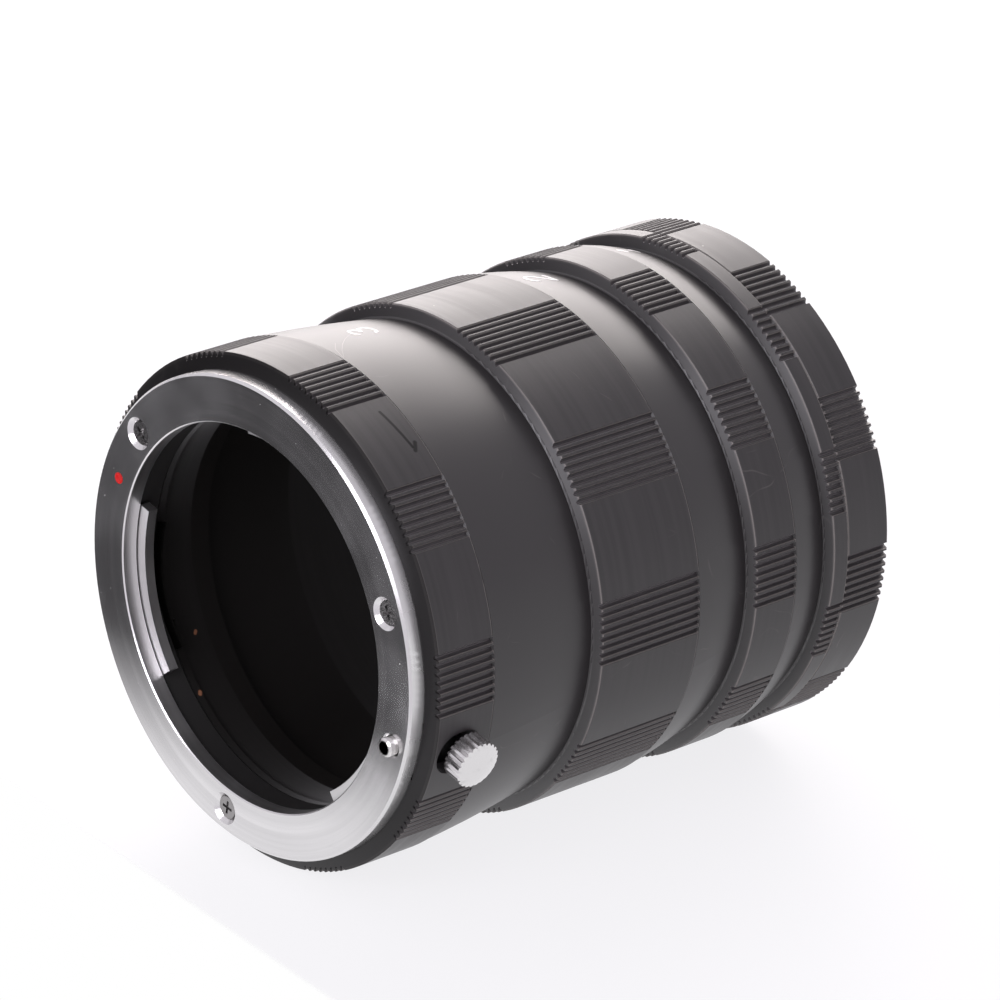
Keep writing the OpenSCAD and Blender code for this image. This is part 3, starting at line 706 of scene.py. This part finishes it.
@dataclass(frozen=True)
class PaintedDigit:
    """A plain generic number, engraved and filled with white paint, on a smooth section."""

    node: str
    body: str
    digit: Digit
    section: SmoothSection
    angle: float
    height: float
    width: float = 0.46
    proud: float = 0.012
    sunk: float = 0.06
    bend_steps: int = 5
    line_steps: int = 8
    cap_turns: tuple[float, ...] = (80, 62, 42)
    cap_end: Pair = (0.98, 20)

    def spot(self, right: float, up: float, lift: float) -> Vector:
        """Returns a point on or under the curved surface, in metres."""
        height = self.height + up
        radius = self.section.radius(height)
        angle = math.radians(self.angle) + right / radius
        out = radius + lift
        return Vector((out * math.cos(angle), out * math.sin(angle), height)) * MM

    def smooth(self, path: Sequence[Pair]) -> list[Vector]:
        """Returns points along a rounded curve through the path, or along its line if it has two points."""
        points = [Vector(point) for point in path]
        if len(points) < 3:
            return [points[0].lerp(points[1], i / self.line_steps) for i in range(self.line_steps + 1)]
        padded = [points[0] * 2 - points[1], *points, points[-1] * 2 - points[-2]]
        curve = []
        for a, b, c, d in zip(padded, padded[1:], padded[2:], padded[3:]):
            for i in range(self.bend_steps):
                t = i / self.bend_steps
                square = (2 * a - 5 * b + 4 * c - d) * t * t
                cube = (3 * b - a - 3 * c + d) * t ** 3
                curve.append(0.5 * (2 * b + (c - a) * t + square + cube))
        return [*curve, points[-1]]

    def across(self, middle: Vector, way: Vector, spread: float = 1.0) -> tuple[Vector, Vector]:
        """Returns the left and right edge of a stroke at a point, for its way and a share of its width."""
        side = Vector((-way.y, way.x)) * (self.width / 2) * spread
        return middle + side, middle - side

    def outline(self, path: Sequence[Pair]) -> list[tuple[Vector, Vector]]:
        """Returns the left and right edge of a stroke with rounded ends."""
        curve = self.smooth(path)
        last = len(curve) - 1
        ways = [(curve[min(i + 1, last)] - curve[max(i - 1, 0)]).normalized() for i in range(last + 1)]
        half = self.width / 2
        end_reach, end_turn = self.cap_end
        cap = [(math.cos(math.radians(turn)), math.sin(math.radians(turn))) for turn in self.cap_turns]
        cap.append((end_reach, math.sin(math.radians(end_turn))))
        start = [self.across(curve[0] - ways[0] * half * reach, ways[0], spread) for reach, spread in cap]
        end = [self.across(curve[-1] + ways[-1] * half * reach, ways[-1], spread) for reach, spread in cap]
        return [*start[::-1], *map(self.across, curve, ways), *end]

    def build(self, material: Material) -> None:
        """Makes the number as a thin inlay that rides on its tube.

        Args:
            material: the white paint.
        """
        shape = bmesh.new()
        for path in self.digit.value:
            rows = []
            for left, right in self.outline(path):
                corners = ((left, self.proud), (right, self.proud), (right, -self.sunk), (left, -self.sunk))
                rows.append([shape.verts.new(self.spot(*flat, lift)) for flat, lift in corners])
            for before, after in zip(rows, rows[1:]):
                for i, j in ((0, 1), (1, 2), (2, 3), (3, 0)):
                    shape.faces.new((before[i], before[j], after[j], after[i]))
            shape.faces.new(rows[0][::-1])
            shape.faces.new(rows[-1])
        bmesh.ops.recalc_face_normals(shape, faces=shape.faces)
        mesh = bpy.data.meshes.new(self.node)
        shape.to_mesh(mesh)
        shape.free()
        mesh.materials.append(material)
        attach(add_object(self.node, mesh), self.body)
        log.info("piece %s: %d faces", self.node, len(mesh.polygons))


@dataclass
class NumberedTubes:
    """The three numbered tubes: grip bands, smooth sections, numbers and male threads."""

    grips: dict[str, Pair] = field(default_factory=lambda: {
        "tube_3": (31.95, 47.2), "tube_2": (16.45, 22.9), "tube_1": (8.0, 10.35)})
    numbers: tuple[PaintedDigit, ...] = (
        PaintedDigit("number_3", "tube_3_body", Digit.THREE, SmoothSection(47.2, 63.6), 109.0, 55.45),
        PaintedDigit("number_2", "tube_2_body", Digit.TWO, SmoothSection(22.9, 31.95), 108.1, 28.45),
        PaintedDigit("number_1", "tube_1_body", Digit.ONE, SmoothSection(10.35, 16.45), 109.6, 13.9),
    )
    scratch_3: tuple[Stroke, ...] = (
        Stroke((108.3, 57.5), (106.2, 59.2), 0.05, 0.45, 30.8),
        Stroke((106.2, 59.2), (103.5, 60.8), 0.05, 0.5, 30.9),
        Stroke((103.5, 60.8), (100.8, 62.1), 0.045, 0.4, 31.0),
        Stroke((100.8, 62.1), (97.7, 63.2), 0.04, 0.3, 31.1),
        Stroke((104.8, 61.3), (101.9, 62.6), 0.05, 0.35, 31.0),
        Stroke((101.9, 62.6), (97.4, 63.4), 0.05, 0.4, 31.1),
    )

    def build(self) -> None:
        """Dresses the three tubes and adds their numbers and threads."""
        for name, (low, high) in self.grips.items():
            marks = self.scratch_3 if name == "tube_3" else ()
            black = BlackAnodised(
                f"black_{name}", bands=((low, high),), edges=((low, 0.7), (high, 0.12)),
                pale_marks=marks, thread_top=low,
            ).material()
            dress(black, name)
            ThreadRidge(f"thread_{name}", low).build(black, f"{name}_body")
        paint = Paint("white_paint", (0.83, 0.82, 0.82), 0.5).material()
        for number in self.numbers:
            number.build(paint)


@dataclass(frozen=True)
class Coil:
    """Turns, radius, rise and wire radius of a wound wire, and the middle of its low end, in mm."""

    turns: float
    radius: float
    rise: float
    wire: float
    foot: Place


@dataclass
class WoundWire:
    """Geometry Nodes that wind a round wire into a helix, for springs and for thread ridges."""

    tree: bpy.types.NodeTree | None = None
    inputs: tuple[str, ...] = ("Turns", "Radius", "Rise", "Wire radius", "Material")
    steps_per_turn: int = 64
    sides: int = 10

    def make(self) -> bpy.types.NodeTree:
        """Builds the node group."""
        tree = bpy.data.node_groups.new("wound_wire", "GeometryNodeTree")
        for name in self.inputs:
            kind = "Material" if name == "Material" else "Float"
            tree.interface.new_socket(name, in_out="INPUT", socket_type=f"NodeSocket{kind}")
        tree.interface.new_socket("Geometry", in_out="OUTPUT", socket_type="NodeSocketGeometry")
        graph = Graph(tree)
        turns, radius, rise, thickness, material = graph.add("NodeGroupInput").outputs[:len(self.inputs)]
        spiral = graph.add("GeometryNodeCurveSpiral", {
            "Resolution": self.steps_per_turn, "Rotations": turns,
            "Start Radius": radius, "End Radius": radius, "Height": rise,
        })
        upright = graph.add("GeometryNodeSetCurveNormal", {"Curve": spiral.outputs[0]}, mode="Z_UP")
        around = {"Resolution": self.sides, "Radius": thickness}
        circle = graph.add("GeometryNodeCurvePrimitiveCircle", around)
        wire = graph.add("GeometryNodeCurveToMesh", {
            "Curve": upright.outputs[0], "Profile Curve": circle.outputs[0], "Fill Caps": True,
        })
        real = graph.add("GeometryNodeRealizeInstances", {0: wire.outputs[0]})
        finish = graph.add("GeometryNodeSetMaterial", {"Geometry": real.outputs[0], "Material": material})
        graph.drive(graph.add("NodeGroupOutput"), Geometry=finish.outputs[0])
        self.tree = tree
        return tree

    def wind(self, name: str, coil: Coil, material: Material) -> bpy.types.Object:
        """Makes one wound wire as a plain mesh.

        Args:
            name: the piece's name.
            coil: its sizes and place.
            material: its finish.

        Returns:
            The new piece, its object at the origin.
        """
        tree = self.tree or self.make()
        maker = add_object(f"{name}_maker", bpy.data.meshes.new(f"{name}_maker"))
        modifier = maker.modifiers.new("wound", "NODES")
        modifier.node_group = tree
        keys = {item.name: item.identifier for item in tree.interface.items_tree if item.in_out == "INPUT"}
        values = (coil.turns, coil.radius * MM, coil.rise * MM, coil.wire * MM, material)
        for label, value in zip(self.inputs, values):
            modifier[keys[label]] = value
        bpy.context.view_layer.update()
        made = maker.evaluated_get(bpy.context.evaluated_depsgraph_get())
        mesh = bpy.data.meshes.new_from_object(made)
        mesh.name = name
        mesh.transform(Matrix.Translation([part * MM for part in coil.foot]))
        bpy.data.objects.remove(maker)
        mesh.shade_smooth()
        log.info("piece %s: %d faces", name, len(mesh.polygons))
        return add_object(name, mesh)


WIRES = WoundWire()


@dataclass(frozen=True)
class ThreadRidge:
    """Fine crests that wind round a male thread, heights and radii in mm."""

    name: str
    top: float
    length: float = 2.35
    pitch: float = 0.75
    radius: float = 28.2
    proud: float = 0.04
    ridge: float = 0.22
    gap: float = 0.1

    def build(self, material: Material, body: str) -> None:
        """Winds the crests and lets them ride on the thread's body.

        Args:
            material: the finish of the ring that carries the thread.
            body: the name of its CAD body.
        """
        foot = (0.0, 0.0, self.top - self.length - self.gap)
        radius = self.radius + self.proud - self.ridge
        coil = Coil(self.length / self.pitch, radius, self.length, self.ridge, foot)
        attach(WIRES.wind(self.name, coil, material), body)


@dataclass(frozen=True)
class PinSpring:
    """Compression spring under the slider of the locking pin, in mm."""

    node: str
    side: float
    x: float = 27.3
    offset: float = 2.55
    low: float = 64.65
    high: float = 71.15
    turns: float = 6.5
    radius: float = 0.8
    wire: float = 0.15
    travel: float = 1.5

    def build(self, material: Material) -> None:
        """Winds the spring as a piece on the front assembly, in place of its CAD node.

        Args:
            material: the spring wire's finish.
        """
        rise = self.high - self.low - 2 * self.wire
        foot = (self.x, self.side * self.offset, self.low + self.wire)
        size = Coil(self.turns, self.radius, rise, self.wire, foot)
        coil = WIRES.wind(f"coil_{self.node}", size, material)
        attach(coil, "front_assembly")
        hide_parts(self.node)
        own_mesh(coil)


@dataclass
class FrontEnd:
    """Front ring, lens flange, locking pin and release knob."""

    seam: float = 63.6
    bevel: float = 71.83
    tool_mark: Stroke = Stroke((78.5, 66.2), (68.1, 65.4), 0.26, 0.8)
    tool_dig: Stroke = Stroke((69.0, 64.75), (67.2, 65.35), 0.36, 0.75)
    specks: tuple[Stroke, ...] = (
        Stroke((223.0, 65.25), (223.5, 65.4), 0.3, 0.8, 24.3),
        Stroke((240.0, 68.2), (240.6, 68.35), 0.34, 0.9, 24.3),
    )

    def build(self) -> None:
        """Dresses the nodes of the front end and winds its springs."""
        low, high = self.seam, self.bevel
        black = BlackAnodised(
            "black_front_ring", bands=((low, high),), edges=((low, 0.7), (high, 0.15)),
            dark_marks=(self.tool_mark, self.tool_dig), inside_radius=25.3, thread_top=low,
            plain_above=high - 0.1, inside_specks=self.specks,
        ).material()
        dress(black, "front_ring")
        ThreadRidge("thread_front_ring", low).build(black, "front_assembly")
        dress(TurnedChrome("flange_chrome", dark_below=72.4).material(), "lens_flange")
        dress(PlainMetal("screw_steel", SCREW_COLOUR, 0.25).material(), *three("flange_screw"))
        dress(PlainMetal("leaf_steel", (0.022, 0.021, 0.02), 0.5).material(), *three("leaf_spring"))
        wire = PlainMetal("spring_wire", (0.5, 0.5, 0.48), 0.25).material()
        for name, side in (("pin_spring_1", -1.0), ("pin_spring_2", 1.0)):
            PinSpring(name, side).build(wire)
        # The pin's end gets a painted black disc as the shade inside its bore
        pin = PlainMetal("pin_steel", (0.72, 0.71, 0.7), 0.14, grime=0.15, hollow=(26.7, 0.0, 0.8))
        dress(pin.material(), "lock_pin")
        dress(PlainMetal("slider_steel", (0.05, 0.05, 0.05), 0.4).material(), "pin_slider")
        dress(PlainMetal("knob_plating", (0.72, 0.71, 0.71), 0.16, 0.12).material(), "release_knob")
        dress(Paint("red_paint", (0.6, 0.008, 0.008), 0.3).material(), "index_dot")


@dataclass
class RearEnd:
    """Rear ring and camera bayonet."""

    ring: Pair = (1.5, 8.0)

    def build(self) -> None:
        """Dresses the nodes of the rear end."""
        low, high = self.ring
        black = BlackAnodised(
            "black_rear_ring", bands=(self.ring,), edges=((low, 0.4), (high, 0.15)), inside_radius=28.0,
        )
        dress(black.material(), "rear_ring")
        dress(TurnedChrome("bayonet_chrome", roughness=0.24).material(), "camera_bayonet")
        dress(PlainMetal("rear_screw_steel", SCREW_COLOUR, 0.25).material(), *three("bayonet_screw"))


@dataclass(frozen=True)
class Softbox:
    """A lamp that faces the part, hung at distances to the right, away and up from its middle, in metres."""

    name: str
    at: Place
    size: Pair
    watts: float
    tint: Colour = (1.0, 0.935, 0.91)


@dataclass
class Studio:
    """Camera, floor, world and lamps, placed about the tube that lies on its side in the picture."""

    lens_mm: float = 216.427
    eye: Place = (0.408065, 0.39966, 0.472468)
    forward: Place = (-0.570622, -0.551043, -0.608885)
    right: Place = (0.632094, 0.17862, -0.754024)
    top: Place = (-0.524259, 0.815136, -0.246387)
    up: Place = (-0.272333, 0.962203, 0.0)
    away: Place = (-0.72546, -0.20556, -0.65685)
    floor_drop: float = 0.03127
    middle: Place = (0.0, 0.0, 0.037)
    paper_edge: tuple[Pair, Pair] = ((-0.0599, 0.0019), (-0.0170, -0.0601))
    paper_strip: float = 0.030
    paper_glow: Colour = (0.985, 0.978, 1.0)
    paper_share: float = 0.84
    ambient: float = 0.5
    mirror_level: float = 0.85
    room_level: float = 0.055
    paper_shine: float = 0.95
    paper_colour: Colour = (0.93, 0.92, 0.95)
    paper_ends: Pair = (1.6, -0.9)
    paper_right: float = 1.4
    edge_fade: float = 0.0012
    room_side: Place = (-0.88, 0.32, 0.34)
    room_reach: Pair = (0.72, 0.92)
    sky: Colour = (0.975, 0.945, 1.0)
    softboxes: tuple[Softbox, ...] = (
        Softbox("back_softbox", (0.08, 0.66, 0.45), (0.9, 0.45), 5.9),
        Softbox("low_softbox", (0.0, 0.9, 0.16), (1.1, 0.4), 4.6),
        Softbox("front_window", (-0.5, -0.75, 0.42), (0.6, 0.6), 5.0, (0.96, 0.93, 1.0)),
        Softbox("axis_window", (-0.62, -0.08, -0.5), (0.34, 0.26), 2.2, (0.96, 0.95, 1.0)),
    )

    def spot(self, right: float, away: float, up: float) -> Vector:
        """Returns a point from distances to the right, away and up from the middle of the part."""
        level = Vector(self.middle) + Vector(self.right) * right + Vector(self.away) * away
        return level + Vector(self.up) * up

    def camera(self) -> None:
        """Makes the camera at the photographed angle."""
        data = bpy.data.cameras.new("photo_camera")
        data.lens, data.sensor_width = self.lens_mm, 36.0
        data.clip_start, data.clip_end = 0.01, 20.0
        camera = add_object("photo_camera", data)
        columns = (Vector(self.right), Vector(self.top), -Vector(self.forward))
        camera.matrix_world = Matrix.Translation(self.eye) @ Matrix(columns).transposed().to_4x4()
        bpy.context.scene.camera = camera

    def floor_material(self) -> Material:
        """Returns white paper that keeps a pale shadow, and that can't be seen from behind."""
        material, graph, shader = new_material("white_paper")
        graph.drive(shader, Base_Color=self.paper_colour, Roughness=0.5)
        path = graph.add("ShaderNodeLightPath")
        glow = graph.add("ShaderNodeEmission", {"Color": self.paper_glow, "Strength": 1.0})
        seen = graph.plus(graph.times(path.outputs["Is Camera Ray"], self.paper_share),
                          graph.times(path.outputs["Is Glossy Ray"], self.paper_shine))
        lit = graph.add("ShaderNodeMixShader", {0: seen, 1: shader.outputs[0], 2: glow.outputs[0]})
        clear = graph.add("ShaderNodeBsdfTransparent")
        past = self.past_edge(graph)
        unseen = graph.times(path.outputs["Is Camera Ray"], graph.ramp(past, 0.0, self.edge_fade))
        faded = graph.times(path.outputs["Is Glossy Ray"], graph.ramp(past, 0.0, self.paper_strip))
        behind = graph.add("ShaderNodeNewGeometry").outputs["Backfacing"]
        hidden = graph.most(behind, unseen, faded)
        mixed = graph.add("ShaderNodeMixShader", {0: hidden, 1: lit.outputs[0], 2: clear.outputs[0]})
        graph.drive(material.node_tree.nodes["Material Output"], Surface=mixed.outputs[0])
        return material

    def past_edge(self, graph: Graph) -> Socket:
        """Returns the distance past the edge of the paper that the photograph shows, in metres."""
        start, end = (self.floor_spot(*corner) for corner in self.paper_edge)
        across = (end - start).cross(Vector(self.up)).normalized()
        if across.dot(Vector(self.right)) > 0:
            across.negate()
        way = graph.vector("SUBTRACT", graph.spot(), tuple(start))
        return graph.vector("DOT_PRODUCT", way, tuple(across))

    def floor_spot(self, right: float, away: float) -> Vector:
        """Returns a point of the floor from distances in metres."""
        return self.spot(right, away, -self.floor_drop)

    def floor(self) -> None:
        """Lays the white paper under the side that the tube lies on in the picture."""
        (right_0, away_0), (right_1, away_1) = self.paper_edge
        slope = (right_1 - right_0) / (away_1 - away_0)
        corners = [(right_0 + (away - away_0) * slope - self.paper_strip, away) for away in self.paper_ends]
        corners += [(self.paper_right, away) for away in reversed(self.paper_ends)]
        mesh = bpy.data.meshes.new("floor")
        mesh.from_pydata([self.floor_spot(*corner) for corner in corners], [], [(0, 1, 2, 3)])
        if mesh.polygons[0].normal.dot(Vector(self.up)) < 0:
            mesh.flip_normals()
        mesh.materials.append(self.floor_material())
        add_object("floor", mesh)

    def world(self) -> None:
        """Lights the scene evenly, shows white to the camera and mirrors a dark room on the left."""
        world = bpy.data.worlds.new("studio")
        world.use_nodes = True
        bpy.context.scene.world = world
        graph = Graph(world.node_tree)
        path = graph.add("ShaderNodeLightPath")
        seen = graph.most(path.outputs["Is Camera Ray"], path.outputs["Is Transmission Ray"])
        way = graph.add("ShaderNodeTexCoord").outputs["Generated"]
        right, down, away = self.room_side
        room_way = Vector(self.right) * right - Vector(self.up) * down + Vector(self.away) * away
        near = graph.vector("DOT_PRODUCT", way, tuple(room_way.normalized()))
        gloss = graph.ramp(near, *self.room_reach, self.mirror_level, self.room_level)
        shiny = path.outputs["Is Glossy Ray"]
        matte = graph.times(graph.minus(1.0, shiny), self.ambient)
        level = graph.plus(graph.times(shiny, gloss), matte)
        colour = graph.mix(seen, self.sky, (1.0, 1.0, 1.0))
        graph.drive(world.node_tree.nodes["Background"], Color=colour, Strength=graph.most(level, seen))

    def lamp(self, box: Softbox) -> None:
        """Hangs one softbox, turned to the part's middle.

        Args:
            box: its name, place, size, power and tint.
        """
        data = bpy.data.lights.new(box.name, "AREA")
        data.color = box.tint
        data.shape, data.energy = "RECTANGLE", box.watts
        data.size, data.size_y = box.size
        place = self.spot(*box.at)
        back = (place - Vector(self.middle)).normalized()
        side = Vector(self.up).cross(back).normalized()
        columns = (side, back.cross(side), back)
        lamp = add_object(box.name, data)
        lamp.matrix_world = Matrix.Translation(place) @ Matrix(columns).transposed().to_4x4()

    def build(self) -> None:
        """Makes the camera, the floor and the lights."""
        self.camera()
        self.floor()
        self.world()
        for box in self.softboxes:
            self.lamp(box)
        bpy.context.scene.view_settings.view_transform = "Standard"


def main() -> None:
    """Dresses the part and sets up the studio."""
    logging.basicConfig(level=logging.INFO, format="%(name)s: %(message)s")
    for part in (FrontEnd(), NumberedTubes(), RearEnd()):
        part.build()
        log.info("built %s", type(part).__name__)
    Studio().build()


if __name__ == "__main__":
    main()
